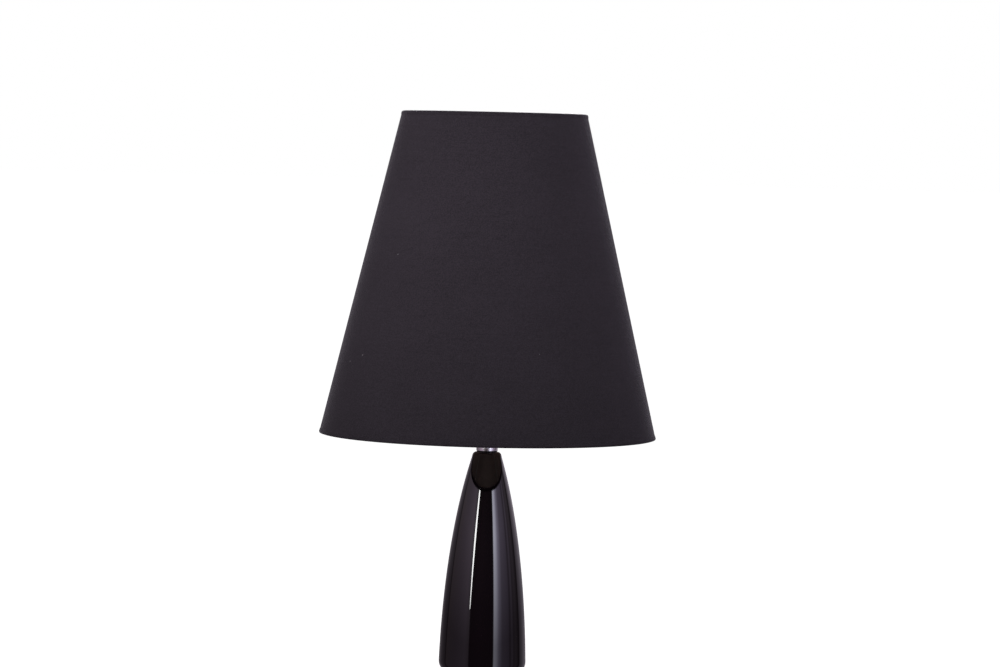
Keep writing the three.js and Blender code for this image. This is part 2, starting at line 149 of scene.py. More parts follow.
def fillet(points, radius, closed=False, steps=4):
    """The profile with each corner rounded to a radius, less where its sides are short."""
    count = len(points)
    out = []
    for i, corner in enumerate(points):
        if not closed and i in (0, count - 1):
            out.append(corner)
            continue
        here = Vector(corner)
        to_prev = Vector(points[i - 1]) - here
        to_next = Vector(points[(i + 1) % count]) - here
        turn = to_prev.angle(to_next, math.pi)
        if turn > STRAIGHT:
            out.append(corner)
            continue
        reach = min(radius / math.tan(turn / 2), to_prev.length * 0.45, to_next.length * 0.45)
        start = here + to_prev.normalized() * reach
        end = here + to_next.normalized() * reach
        for k in range(steps + 1):
            t = k / steps
            out.append(tuple((1 - t) ** 2 * start + 2 * t * (1 - t) * here + t * t * end))
    return out


def turned(profile, closed=True, segments=96, shape=None):
    """Vertices and faces of a profile turned about Z. shape(r, angle, z) may change a radius."""
    verts = []
    rows = []
    for r, z in profile:
        if r < SAME_POINT:
            rows.append([len(verts)] * segments)
            verts.append((0, 0, z))
            continue
        rows.append(list(range(len(verts), len(verts) + segments)))
        for k in range(segments):
            a = 2 * math.pi * k / segments
            rr = shape(r, a, z) if shape else r
            verts.append((rr * math.cos(a), rr * math.sin(a), z))
    faces = []
    spans = len(rows) if closed else len(rows) - 1
    for i in range(spans):
        low, high = rows[i], rows[(i + 1) % len(rows)]
        for k in range(segments):
            n = (k + 1) % segments
            ring = [low[k], low[n], high[n], high[k]]
            face = [v for j, v in enumerate(ring) if v != ring[j - 1]]
            if len(set(face)) > 2:
                faces.append(face)
    return verts, faces


def ring_piece(name, profile, body, slot, replaced, radius=0.3 * MM, segments=96, shape=None):
    """A turned ring whose profile closes on itself, with rounded corners."""
    verts, faces = turned(fillet(profile, radius, closed=True), True, segments, shape)
    return add_mesh(name, verts, faces, body, slot, replaced)


def solid_piece(name, profile, body, slot, replaced, radius=0.3 * MM, segments=96, shape=None):
    """A turned solid whose profile starts and ends on the axis, with rounded corners."""
    verts, faces = turned(fillet(profile, radius), False, segments, shape)
    return add_mesh(name, verts, faces, body, slot, replaced)


def arc(centre, radius, start, end, steps):
    """Points of an arc in the profile plane, angles in degrees."""
    angles = [math.radians(start + (end - start) * k / steps) for k in range(steps + 1)]
    return [(centre[0] + radius * math.cos(a), centre[1] + radius * math.sin(a)) for a in angles]


def bezier(p0, p1, p2, p3, steps):
    """Points of a cubic curve."""
    pts = [Vector(p) for p in (p0, p1, p2, p3)]
    out = []
    for k in range(steps + 1):
        t = k / steps
        u = 1 - t
        out.append(tuple(u**3 * pts[0] + 3 * u * u * t * pts[1] + 3 * u * t * t * pts[2] + t**3 * pts[3]))
    return out


def thread_rows(z0, z1, pitch, per_turn=10):
    """Heights close enough together to carry a thread."""
    count = max(2, round((z1 - z0) / pitch * per_turn))
    return [z0 + (z1 - z0) * k / count for k in range(count + 1)]


def thread_shape(z0, z1, pitch, depth, crest):
    """A shape for turned() that cuts a rounded helical thread between two heights."""

    def shape(r, angle, z):
        if abs(r - crest) > SAME_RADIUS or not z0 <= z <= z1:
            return r
        run = min(1, (z - z0) / pitch, (z1 - z) / pitch)
        wave = 0.5 - 0.5 * math.cos(2 * math.pi * (z / pitch - angle / (2 * math.pi)))
        return r - depth * run * wave

    return shape


def tube_faces(rings, sides, ends):
    """Quads between a bar's rings, and triangles from its first and last ring to the two end vertices.

    Each ring, and the pair of ends, is given by its first vertex.
    """
    faces = []
    for low, high in zip(rings, rings[1:]):
        for k in range(sides):
            n = (k + 1) % sides
            faces.append([low + k, low + n, high + n, high + k])
    for k in range(sides):
        n = (k + 1) % sides
        faces.append([ends, rings[0] + n, rings[0] + k])
        faces.append([ends + 1, rings[-1] + k, rings[-1] + n])
    return faces


def tube(path, radius, sides=16, swell=None):
    """A round bar with domed ends along a path. swell(t) scales its radius."""
    pts = [Vector(p) for p in path]
    verts = []
    side = None
    rings = []
    dome = [(math.sin(a), 1 - math.cos(a)) for a in (math.pi / 8, math.pi / 4, math.pi * 3 / 8)]
    dome.append((1, 1))
    count = len(pts)
    for i, p in enumerate(pts):
        tangent = (pts[min(i + 1, count - 1)] - pts[max(i - 1, 0)]).normalized()
        across = tangent.orthogonal() if side is None else side - tangent * side.dot(tangent)
        side = across.normalized()
        up = tangent.cross(side)
        scale = swell(i / (count - 1)) if swell else 1
        stations = [(p, 1)]
        if i == 0:
            stations = [(p + tangent * radius * back, s) for s, back in dome]
        if i == count - 1:
            stations = [(p - tangent * radius * back, s) for s, back in reversed(dome)]
        for at, s in stations:
            rings.append(len(verts))
            for k in range(sides):
                a = 2 * math.pi * k / sides
                verts.append(at + (side * math.cos(a) + up * math.sin(a)) * radius * scale * s)
    faces = tube_faces(rings, sides, len(verts))
    verts += [pts[0], pts[-1]]
    return verts, faces


def drill(obj, where, rotation, radius, depth):
    """Cuts a round hole of that depth, centred on a place."""
    bpy.ops.mesh.primitive_cylinder_add(
        vertices=64, radius=radius, depth=depth, location=where, rotation=rotation
    )
    cutter = bpy.context.object
    cut = obj.modifiers.new("drill", "BOOLEAN")
    cut.operation = "DIFFERENCE"
    cut.solver = "EXACT"
    cut.object = cutter
    bpy.context.view_layer.objects.active = obj
    bpy.ops.object.modifier_apply(modifier="drill")
    bpy.data.objects.remove(cutter)


# ---- material helpers ----------------------------------------------------------


class Graph:
    """A short way to write a node tree."""

    def __init__(self, tree):
        self.tree = tree

    def link(self, source, target):
        self.tree.links.new(source, target)

    def node(self, kind, values=None, **settings):
        """A node with its settings, and a value or a link for each input named."""
        made = self.tree.nodes.new(kind)
        for key, value in settings.items():
            setattr(made, key, value)
        for socket, value in (values or {}).items():
            if isinstance(value, bpy.types.NodeSocket):
                self.link(value, made.inputs[socket])
            else:
                made.inputs[socket].default_value = value
        return made

    def math(self, operation, a, b=0.0, c=0.0):
        return self.node("ShaderNodeMath", {0: a, 1: b, 2: c}, operation=operation).outputs[0]

    def remap(self, value, low, high, to_low=0.0, to_high=1.0):
        """A value carried from one range to another, and clamped to it."""
        values = {0: value, 1: low, 2: high, 3: to_low, 4: to_high}
        return self.node("ShaderNodeMapRange", values).outputs[0]


class Nodes(Graph):
    """A piece's material around one Principled shader."""

    def __init__(self, name, **sockets):
        self.material = bpy.data.materials.new(name)
        self.material.use_nodes = True
        super().__init__(self.material.node_tree)
        self.shader = self.tree.nodes["Principled BSDF"]
        for socket, value in sockets.items():
            self.shader.inputs[socket.replace("_", " ")].default_value = value
        self.place = self.node("ShaderNodeTexCoord").outputs["Object"]

    def scaled(self, x, y, z):
        """Object coordinates stretched by a factor on each axis."""
        return self.node("ShaderNodeMapping", {0: self.place, 3: (x, y, z)}).outputs[0]

    def noise(self, scale, detail=4.0, at=None, rough=0.5):
        values = {"Vector": at or self.place, "Scale": scale, "Detail": detail, "Roughness": rough}
        return self.node("ShaderNodeTexNoise", values).outputs["Fac"]

    def mix(self, fac, a, b):
        """Blend of two colours, each a tone or another node's colour."""
        tones = [c if isinstance(c, bpy.types.NodeSocket) else (*c, 1) for c in (a, b)]
        values = {0: fac, 6: tones[0], 7: tones[1]}
        return self.node("ShaderNodeMix", values, data_type="RGBA").outputs[2]

    def axis(self, which):
        """One object coordinate: 0, 1 or 2."""
        return self.node("ShaderNodeSeparateXYZ", {0: self.place}).outputs[which]

    def angle(self):
        """Angle about the lamp's axis, in radians."""
        split = self.node("ShaderNodeSeparateXYZ", {0: self.place})
        return self.math("ARCTAN2", split.outputs[1], split.outputs[0])

    def color(self, value):
        self.link(value, self.shader.inputs["Base Color"])

    def rough(self, value):
        self.link(value, self.shader.inputs["Roughness"])

    def bump(self, height, strength, distance):
        made = self.node("ShaderNodeBump", {"Strength": strength, "Distance": distance, "Height": height})
        self.link(made.outputs[0], self.shader.inputs["Normal"])


YARN_PITCH = 0.55 * MM
UPRIGHT_YARNS = 1500
BARE_FOOT = 1.6 * MM  # the glaze is wiped off below this height
BARE_FADE = 2.4 * MM  # and whole above this one


def glazed_black():
    """Deep black glaze, wiped off the foot so that the clay shows in a thin ring."""
    m = Nodes("glazed_black", Roughness=0.04, IOR=1.52)
    pooled = m.noise(9.0, 2.0)
    glaze = m.mix(m.remap(pooled, 0.35, 0.7), (0.0048, 0.0027, 0.0042), (0.0064, 0.0037, 0.0056))
    clay = m.mix(m.noise(900.0, 6.0), (0.05, 0.036, 0.028), (0.11, 0.085, 0.065))
    edge = m.math("ADD", m.axis(2), m.math("MULTIPLY", m.noise(60.0), 0.0012))
    bare = m.remap(edge, body_lo.z + BARE_FOOT, body_lo.z + BARE_FADE, 1.0, 0.0)
    m.color(m.mix(bare, glaze, clay))
    film = m.remap(m.noise(35.0, 5.0), 0.4, 0.8, 0.025, 0.06)
    m.rough(m.math("MAXIMUM", film, m.math("MULTIPLY", bare, 0.8)))
    ripple = m.math("ADD", m.noise(14.0, 1.0), m.math("MULTIPLY", m.noise(420.0, 2.0), 0.008))
    m.bump(ripple, 0.12, 0.0012)
    return m.material


def brushed_chrome():
    """Chrome with a fine turned grain, which blurs what it mirrors."""
    m = Nodes("brushed_chrome", Metallic=1.0)
    m.color(m.mix(m.noise(220.0), (0.93, 0.92, 0.93), (0.97, 0.96, 0.97)))
    turning = m.noise(1.0, 2.0, at=m.scaled(30, 30, 9000))
    m.rough(m.remap(turning, 0.3, 0.7, 0.26, 0.38))
    m.bump(turning, 0.03, 0.0001)
    return m.material


def plated(name, dark, light, low=0.22, high=0.45):
    """Plated or pressed metal with a faint grain, duller in patches."""
    m = Nodes(name, Metallic=1.0)
    m.color(m.mix(m.remap(m.noise(160.0, 6.0), 0.3, 0.7), dark, light))
    m.rough(m.remap(m.noise(420.0, 5.0), 0.3, 0.7, low, high))
    m.bump(m.noise(2600.0, 2.0), 0.12, 0.0001)
    return m.material


def phenolic_black():
    """Fairly glossy black moulding."""
    m = Nodes("phenolic_black", IOR=1.6)
    m.color(m.mix(m.noise(240.0, 5.0), (0.006, 0.0055, 0.0055), (0.014, 0.013, 0.0125)))
    m.rough(m.remap(m.noise(90.0, 4.0), 0.3, 0.7, 0.16, 0.3))
    m.bump(m.noise(700.0, 3.0), 0.05, 0.0002)
    return m.material


def moulded(name, dark, light, rough):
    """A plain moulding, mottled between two tones."""
    m = Nodes(name)
    m.color(m.mix(m.noise(130.0, 4.0), dark, light))
    m.rough(m.remap(m.noise(500.0, 3.0), 0.3, 0.7, rough - 0.06, rough + 0.06))
    m.bump(m.noise(1800.0, 3.0), 0.08, 0.0001)
    return m.material


def felted():
    """Short black felt, with crossing fibres."""
    m = Nodes("felted", Roughness=0.95, Sheen_Weight=0.4, Sheen_Roughness=0.6)
    along = m.noise(1.0, 4.0, at=m.scaled(700, 2600, 2600))
    across = m.noise(1.0, 4.0, at=m.scaled(2600, 700, 2600))
    fibres = m.math("ADD", along, across)
    m.color(m.mix(m.remap(fibres, 0.8, 1.25), (0.012, 0.012, 0.013), (0.045, 0.044, 0.047)))
    m.bump(fibres, 0.6, 0.0006)
    return m.material


def woven(name, dark, light):
    """Matte black cotton: fine level and upright yarns, faint slubs and a few specks of lint."""
    m = Nodes(name, Roughness=0.95, Specular_IOR_Level=0.15, Sheen_Weight=0.62, Sheen_Roughness=0.2)
    m.shader.inputs["Sheen Tint"].default_value = (0.95, 0.88, 1.0, 1.0)
    slub = m.noise(1.0, 3.0, at=m.scaled(30, 30, 1100), rough=0.6)
    grain = m.noise(1000.0, 3.0)
    patches = m.noise(1.0, 2.0, at=m.scaled(14, 14, 20))
    upright = m.math("SINE", m.math("MULTIPLY", m.angle(), UPRIGHT_YARNS))
    level = m.math("SINE", m.math("MULTIPLY", m.axis(2), 2 * math.pi / YARN_PITCH))
    weave = m.math("MULTIPLY", m.math("MULTIPLY", upright, level), 0.5)
    tone = m.math("ADD", m.math("MULTIPLY", slub, 0.14), m.math("MULTIPLY", grain, 0.76))
    tone = m.math("ADD", tone, m.math("MULTIPLY", patches, 0.1))
    cloth = m.mix(m.remap(tone, 0.4, 0.6), dark, light)
    specks = m.node("ShaderNodeTexVoronoi", {"Vector": m.place, "Scale": 75.0}).outputs["Distance"]
    chosen = m.math("GREATER_THAN", m.noise(38.0, 0.0), 0.75)
    dots = m.math("MULTIPLY", m.math("LESS_THAN", specks, 0.06), chosen)
    m.color(m.mix(dots, cloth, (0.11, 0.1, 0.11)))
    height = m.math("ADD", m.math("MULTIPLY", slub, 0.5), m.math("MULTIPLY", weave, 0.5))
    m.bump(m.math("ADD", height, m.math("MULTIPLY", grain, 0.5)), 0.4, 0.0002)
    return m.material


def gold_laminate():
    """Satin lining of a pale warm tone, with a faint level grain."""
    m = Nodes("gold_laminate", Metallic=0.25)
    grain = m.noise(1.0, 3.0, at=m.scaled(20, 20, 1400))
    m.color(m.mix(m.remap(grain, 0.3, 0.7), (0.6, 0.47, 0.42), (0.68, 0.54, 0.49)))
    m.rough(m.remap(m.noise(60.0, 4.0), 0.3, 0.7, 0.32, 0.46))
    m.bump(grain, 0.15, 0.0002)
    return m.material


def powder_coat():
    """White powder coat on wire, slightly pebbled."""
    m = Nodes("powder_coat", IOR=1.5)
    m.color(m.mix(m.noise(140.0, 4.0), (0.74, 0.73, 0.7), (0.84, 0.83, 0.81)))
    m.rough(m.remap(m.noise(600.0), 0.3, 0.7, 0.3, 0.45))
    m.bump(m.noise(1500.0, 2.0), 0.2, 0.0002)
    return m.material


def frosted_glass():
    """Pale frosted glass of the bulb."""
    m = Nodes("frosted_glass", IOR=1.5, Coat_Weight=0.4)
    m.color(m.mix(m.noise(30.0, 3.0), (0.84, 0.83, 0.8), (0.9, 0.89, 0.87)))
    m.rough(m.remap(m.noise(900.0, 3.0), 0.3, 0.7, 0.24, 0.36))
    m.bump(m.noise(3000.0, 2.0), 0.04, 0.0001)
    return m.material


def insulation(name, dark, light):
    """Plastic cover of a lead, mottled between two tones."""
    m = Nodes(name, IOR=1.5)
    m.color(m.mix(m.noise(300.0, 3.0), dark, light))
    m.rough(m.remap(m.noise(900.0), 0.3, 0.7, 0.35, 0.55))
    m.bump(m.noise(1200.0, 2.0), 0.06, 0.0001)
    return m.material


MATERIALS = {
    "glaze": glazed_black(),
    "chrome": brushed_chrome(),
    "zinc": plated("zinc_plate", (0.42, 0.43, 0.44), (0.6, 0.61, 0.62)),
    "brass": plated("pressed_brass", (0.5, 0.33, 0.12), (0.72, 0.52, 0.24)),
    "black_plastic": phenolic_black(),
    "white_plastic": moulded("white_nylon", (0.66, 0.64, 0.58), (0.76, 0.74, 0.68), 0.45),
    "porcelain": moulded("bare_porcelain", (0.74, 0.7, 0.62), (0.84, 0.81, 0.74), 0.38),
    "rubber": moulded("black_rubber", (0.012, 0.012, 0.012), (0.026, 0.025, 0.025), 0.62),
    "felt": felted(),
    "fibre": moulded("pressed_fibre", (0.07, 0.03, 0.02), (0.14, 0.065, 0.04), 0.8),
    "shade_fabric": woven("black_cotton", (0.0168, 0.0136, 0.0177), (0.0282, 0.0227, 0.0297)),
    # the hems' cloth is a slightly darker copy of the cover's cloth: painted shade along the rolled hems
    "hem_fabric": woven("black_cotton_hem_painted_shade", (0.0148, 0.012, 0.0156), (0.0257, 0.0207, 0.0271)),
    "gold_lining": gold_laminate(),
    "white_wire": powder_coat(),
    "bulb_glass": frosted_glass(),
    "vitrite": moulded("vitrite_glass", (0.006, 0.006, 0.009), (0.012, 0.012, 0.016), 0.12),
    "brown_lead": insulation("brown_insulation", (0.075, 0.03, 0.012), (0.12, 0.05, 0.022)),
    "blue_lead": insulation("blue_insulation", (0.012, 0.06, 0.2), (0.02, 0.1, 0.3)),
    "earth_lead": insulation("green_insulation", (0.05, 0.16, 0.03), (0.3, 0.32, 0.04)),
}


def dress_cad_nodes():
    """Each carried-over CAD node gets the procedural material of its slot."""
    for part in frame["record"]["subparts"]:
        node = frame["nodes"][part["node"]]
        node.data.materials.clear()
        node.data.materials.append(MATERIALS[part["material_slot"]])


# ---- base ----------------------------------------------------------------------

BODY_EDGE = 12.5 * MM
FOOT_R = body_hi.x - BODY_EDGE
BODY_TOP_R = 10.5 * MM
SHOULDER_EDGE = 4.8 * MM
WALL = 5.5 * MM
PIPE_HOLE_R = 5.3 * MM
BOSS_R = 10 * MM
BOSS_DEEP = 9 * MM
LEDGE_TOP = plate_hi.z + 6.3 * MM
LEDGE_R = 24 * MM
RECESS_R = plate_hi.x + 0.3 * MM
FLANK_BEND_LOW = (43.4 * MM, 85.4 * MM)
FLANK_BEND_HIGH = (34.1 * MM, 167.2 * MM)
OUTLET_HOLE_R = 6.1 * MM
OUTLET_HOLE_DEEP = 30 * MM
BAR_HOLE_R = 3.3 * MM
BAR_HOLE_LONG = 60 * MM


def body_flank():
    """The slim flared flank, from the top of the rounded foot to the shoulder."""
    return bezier(
        (body_hi.x, body_lo.z + BODY_EDGE),
        FLANK_BEND_LOW,
        FLANK_BEND_HIGH,
        (BODY_TOP_R + SHOULDER_EDGE, body_hi.z - SHOULDER_EDGE),
        90,
    )


def body_inside(flank):
    """The hollow: pipe hole, boss, inner wall, ledge and the recess for the plate."""
    low = LEDGE_TOP + 4 * MM
    high = body_hi.z - 15 * MM
    wall = [(r - WALL, z) for r, z in flank[::3] if low < z < high]
    boss_z = body_hi.z - BOSS_DEEP
    recess_z = plate_hi.z + 0.3 * MM
    return [
        (PIPE_HOLE_R, body_hi.z),
        (PIPE_HOLE_R, boss_z),
        (BOSS_R, boss_z),
        *reversed(wall),
        (body_hi.x - WALL, LEDGE_TOP),
        (LEDGE_R, LEDGE_TOP),
        (LEDGE_R, recess_z),
        (RECESS_R, recess_z),
        (RECESS_R, body_lo.z),
    ]


def glazed_body():
    """The ceramic body: rounded foot, slim flared flank, rounded shoulder, hollow inside."""
    flank = body_flank()
    outside = (
        arc((FOOT_R, body_lo.z + BODY_EDGE), BODY_EDGE, -90, 0, 24)
        + flank[1:-1]
        + arc((BODY_TOP_R, body_hi.z - SHOULDER_EDGE), SHOULDER_EDGE, 16, 90, 12)
    )
    hidden = fillet([outside[-1], *body_inside(flank), outside[0]], 0.7 * MM)
    verts, faces = turned(outside + hidden[1:-1], True, 224)
    body = add_mesh("glazed_body", verts, faces, "stand", "glaze", "ceramic_body")
    outlet_z = (grommet_lo.z + grommet_hi.z) / 2
    drill(body, (0, body_hi.x, outlet_z), (math.pi / 2, 0, 0), OUTLET_HOLE_R, OUTLET_HOLE_DEEP)


def felt_pad():
    """Felt under the foot, slightly frayed at its edge."""
    profile = [(0, felt_lo.z), (felt_hi.x, felt_lo.z), (felt_hi.x, felt_hi.z), (0, felt_hi.z)]

    def frayed(r, angle, z):
        if r < felt_hi.x * 0.9:
            return r
        return r - 0.1 * MM * (1 + math.sin(61 * angle + 900 * z) * math.sin(23 * angle))

    solid_piece("felt_pad", profile, "stand", "felt", "felt_base", 0.5 * MM, 256, frayed)


def outlet_grommet():
    """Rubber gland with a flange on each side of the wall."""
    z = (grommet_lo.z + grommet_hi.z) / 2
    y0, y1 = grommet_lo.y, grommet_hi.y
    bore = 3.3 * MM
    waist = bore + 2.4 * MM
    flange = grommet_hi.x
    face = body_hi.x + 0.2 * MM
    profile = [
        (bore, y0),
        (7.5 * MM, y0),
        (7.5 * MM, y0 + 2.2 * MM),
        (waist, y0 + 2.8 * MM),
        (waist, face),
        (flange, face),
        (flange - 0.8 * MM, face + 2.2 * MM),
        (bore + 1.6 * MM, y1),
        (bore, y1 - 0.9 * MM),
    ]
    verts, faces = turned(fillet(profile, 0.6 * MM, closed=True), True, 64)
    placed = [(x, height, z - y) for x, y, height in verts]
    add_mesh("outlet_grommet", placed, faces, "stand", "rubber", "cord_grommet")


# ---- neck ----------------------------------------------------------------------


def neck():
    """Chromed sleeve around the pipe, with a rubber seal under it."""
    inner = neck_hi.x - 1.4 * MM
    top = neck_hi.z
    lid = top - 2 * MM
    sleeve = [
        (inner, neck_lo.z),
        (neck_hi.x, neck_lo.z),
        (neck_hi.x, top),
        (PIPE_HOLE_R, top),
        (PIPE_HOLE_R, lid),
        (inner, lid),
    ]
    ring_piece("neck_sleeve", sleeve, "stand", "chrome", "neck_ferrule", 0.5 * MM, 128)
    outer = gasket_hi.x
    z0, z1 = gasket_lo.z, gasket_hi.z
    seal = [(PIPE_HOLE_R, z0), (outer, z0), (outer, z1), (PIPE_HOLE_R, z1)]
    ring_piece("neck_seal", seal, "stand", "rubber", "neck_gasket", 0.25 * MM)


# ---- lampholder ----------------------------------------------------------------


def holder_dome():
    """Domed bottom of the lampholder, drilled through for the push bar."""
    z = cap_lo.z
    neck_r = neck_hi.x
    wide = cap_hi.x
    dome = [
        (PIPE_HOLE_R, z),
        (neck_r + 0.4 * MM, z),
        (neck_r + 1.2 * MM, z + 3 * MM),
        (neck_r + 4.6 * MM, z + 6.2 * MM),
        (wide - 1.6 * MM, z + 9.6 * MM),
        (wide, z + 13 * MM),
        (wide, cap_hi.z),
        (wide - 2 * MM, cap_hi.z),
        (wide - 2 * MM, z + 13.4 * MM),
        (wide - 3.6 * MM, z + 11 * MM),
        (neck_r + 2.6 * MM, z + 7.4 * MM),
        (neck_r - 0.8 * MM, z + 3 * MM),
        (PIPE_HOLE_R, z + 3 * MM),
    ]
    cap = ring_piece("holder_dome", dome, "stand", "black_plastic", "holder_cap", 0.8 * MM, 128)
    bar_z = (bar_lo.z + bar_hi.z) / 2
    drill(cap, (0, 0, bar_z), (0, math.pi / 2, 0), BAR_HOLE_R, BAR_HOLE_LONG)


def holder_barrel():
    """Upper half of the lampholder: a flange that carries the shade and the collar's thread."""
    wide = cap_hi.x
    top = skirt_hi.z
    flange_r = skirt_hi.x
    flange_top = fitter_lo.z - 0.4 * MM
    barrel_r = 19.8 * MM
    bore = 15.2 * MM
    pitch = 2 * MM
    thread_low, thread_high = flange_top + 0.6 * MM, top - 1.6 * MM
    barrel = [
        (bore + 1 * MM, top),
        (bore, top - 1 * MM),
        (bore, flange_top - 1.5 * MM),
        (wide - 3 * MM, flange_top - 3.5 * MM),
        (wide - 2 * MM, skirt_lo.z),
        (wide, skirt_lo.z),
        (wide, flange_top - 3.7 * MM),
        (flange_r, flange_top - 2.5 * MM),
        (flange_r, flange_top),
        (barrel_r, flange_top),
    ]
    outline = fillet(barrel, 0.5 * MM)
    rows = [(barrel_r, h) for h in thread_rows(thread_low, thread_high, pitch)]
    outline += rows + [(barrel_r - 1.2 * MM, top)]
    shape = thread_shape(thread_low, thread_high, pitch, 0.7 * MM, barrel_r)
    verts, faces = turned(outline, True, 96, shape)
    add_mesh("holder_barrel", verts, faces, "stand", "black_plastic", "holder_skirt")


def push_bar():
    """Push bar of the switch, with a domed button at each end."""
    z = (bar_lo.z + bar_hi.z) / 2
    r = bar_hi.y
    groove = 3 * MM
    profile = [
        (0, bar_lo.x),
        (r * 0.8, bar_lo.x),
        (r, bar_lo.x + 1.4 * MM),
        (r, groove - 0.9 * MM),
        (1.4 * MM, groove - 0.9 * MM),
        (1.4 * MM, groove + 0.9 * MM),
        (r, groove + 0.9 * MM),
        (r, bar_hi.x - 1.4 * MM),
        (r * 0.8, bar_hi.x),
        (0, bar_hi.x),
    ]
    verts, faces = turned(fillet(profile, 0.8 * MM), False, 48)
    placed = [(height, y, z - x) for x, y, height in verts]
    add_mesh("push_bar", placed, faces, "switch", "black_plastic", "switch_bar")


def socket_insert():
    """Porcelain disc with a well for the plunger."""
    well_r = 4 * MM
    well_z = insert_hi.z - 8 * MM
    top = insert_hi.z
    insert = [
        (0, insert_lo.z),
        (insert_hi.x, insert_lo.z),
        (insert_hi.x, top - 3 * MM),
        (15 * MM, top),
        (well_r, top),
        (well_r, well_z),
        (0, well_z),
    ]
    solid_piece("socket_insert", insert, "stand", "porcelain", "contact_insert", 0.5 * MM)


def socket_shell():
    """Thin brass shell, rolled to the bulb's thread, with its bottom edge turned in."""
    outer, wall, lip = 14.2 * MM, 0.4 * MM, 10.4 * MM
    low, high = shell_lo.z, shell_hi.z
    rows = thread_rows(low + 1 * MM, high - 0.6 * MM, SCREW_PITCH, 14)
    profile = [(outer, h) for h in rows] + [(outer - wall, h) for h in reversed(rows)]
    profile = [(lip, low), (outer, low)] + profile + [(lip, low + 0.6 * MM)]
    turn = 2 * math.pi / SCREW_PITCH

    def rolled(r, a, h):
        if r < 11 * MM or not rows[0] <= h <= rows[-1]:
            return r
        run = min(1, (h - rows[0]) / (2 * MM), (rows[-1] - h) / (2 * MM))
        return r - 0.45 * MM * run * (0.5 - 0.5 * math.cos(turn * h - a))

    verts, faces = turned(profile, True, 96, rolled)
    add_mesh("socket_shell", verts, faces, "stand", "brass", "screw_shell")


def plunger_head():
    """Centre contact: a head on a thin stem."""
    stem = 1.6 * MM
    tip = plunger_hi.z
    head = plunger_hi.x
    plunger = [
        (0, plunger_lo.z),
        (stem, plunger_lo.z),
        (stem, tip - 3.2 * MM),
        (head, tip - 3.2 * MM),
        (head, tip - 1 * MM),
        (head - 1 * MM, tip),
        (0, tip),
    ]
    solid_piece("plunger_head", plunger, "plunger", "brass", "centre_contact", 0.3 * MM, 48)


def plunger_spring():
    """Coil spring under the plunger's head."""
    wire_r = 0.3 * MM
    coil_r = spring_hi.x - wire_r
    turns = 5
    low, high = spring_lo.z + wire_r, spring_hi.z - wire_r
    count = turns * 24
    path = []
    for k in range(count + 1):
        a = 2 * math.pi * turns * k / count
        path.append((coil_r * math.cos(a), coil_r * math.sin(a), low + (high - low) * k / count))
    verts, faces = tube(path, wire_r, 10)
    spring = add_mesh("plunger_spring", verts, faces, "stand", "zinc", "contact_spring")
    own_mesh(spring)


def collar():
    """Threaded collar with finger ribs."""
    inner = 20.2 * MM
    outer = collar_hi.x
    z0, z1 = collar_lo.z, collar_hi.z
    profile = [(inner, z0), (outer, z0), (outer, z0 + 1 * MM), (outer, z1 - 1 * MM), (outer, z1), (inner, z1)]
    ribs = 24

    def ribbed(r, angle, z):
        if r < outer - 0.5 * MM:
            return r
        return r - 0.8 * MM * (0.5 - 0.5 * math.cos(ribs * angle)) ** 3

    ring_piece("collar", profile, "collar", "black_plastic", "shade_ring", 0.7 * MM, 288, ribbed)


def collar_washer():
    """Fibre washer under the collar."""
    inner = 20.3 * MM
    outer = washer_hi.x
    z0, z1 = washer_lo.z, washer_hi.z
    flat = [(inner, z0), (outer, z0), (outer, z1), (inner, z1)]
    ring_piece("collar_washer", flat, "washer", "fibre", "ring_washer", 0.15 * MM)


# ---- bulb ----------------------------------------------------------------------


GLOBE_R = 30 * MM
GLOBE_WALL = 1 * MM


def bulb_contact():
    """Solder tip at the bottom of the bulb, and the glass insulator around it."""
    tip = [(0, tip_lo.z), (3.4 * MM, tip_lo.z), (tip_hi.x, tip_hi.z), (0, tip_hi.z)]
    solid_piece("lamp_tip", tip, "bulb", "zinc", "bulb_tip", 0.5 * MM, 48)
    glass = [(0, vitrite_lo.z), (5.4 * MM, vitrite_lo.z), (vitrite_hi.x, vitrite_hi.z), (0, vitrite_hi.z)]
    solid_piece("lamp_insulator", glass, "bulb", "vitrite", "bulb_insulator", 0.4 * MM, 64)


def bulb_screw_cap():
    """Thin threaded cap."""
    crest = bulb_cap_hi.x
    inner = 9.8 * MM
    z, top = bulb_cap_lo.z, bulb_cap_hi.z
    low, high = z + 2 * MM, top - 4.5 * MM
    rows = thread_rows(low, high, SCREW_PITCH, 14)
    profile = [(inner, z), (10.6 * MM, z)]
    profile += [(crest, h) for h in rows]
    profile += [(12.8 * MM, top), (12.4 * MM, top)]
    profile += [(11.4 * MM, h) for h in (high, low)] + [(inner, z + 1 * MM)]
    shape = thread_shape(low, high, SCREW_PITCH, 1.1 * MM, crest)
    verts, faces = turned(profile, True, 96, shape)
    add_mesh("lamp_cap", verts, faces, "bulb", "zinc", "bulb_cap")


def globe_outline(inset):
    """Round globe that flares out of the cap, moved in by the inset."""
    centre = globe_hi.z - GLOBE_R
    neck_z = bulb_cap_hi.z
    crown = arc((0, centre), GLOBE_R - inset, -32, 90, 40)
    flare = bezier(
        (12 * MM - inset, neck_z + 1 * MM),
        (12.6 * MM - inset, neck_z + 9 * MM),
        (19 * MM - inset, centre - 25 * MM),
        crown[0],
        20,
    )
    return [(11.6 * MM - inset, neck_z - 5 * MM)] + flare + crown[1:-1]


def bulb_globe():
    """Hollow glass globe, open at the bottom inside the cap."""
    crown = [(0, globe_hi.z), (0, globe_hi.z - GLOBE_WALL)]
    profile = globe_outline(0) + crown + globe_outline(GLOBE_WALL)[::-1]
    verts, faces = turned(profile, True, 96)
    add_mesh("lamp_globe", verts, faces, "bulb", "bulb_glass", "bulb_globe")


# ---- shade ---------------------------------------------------------------------


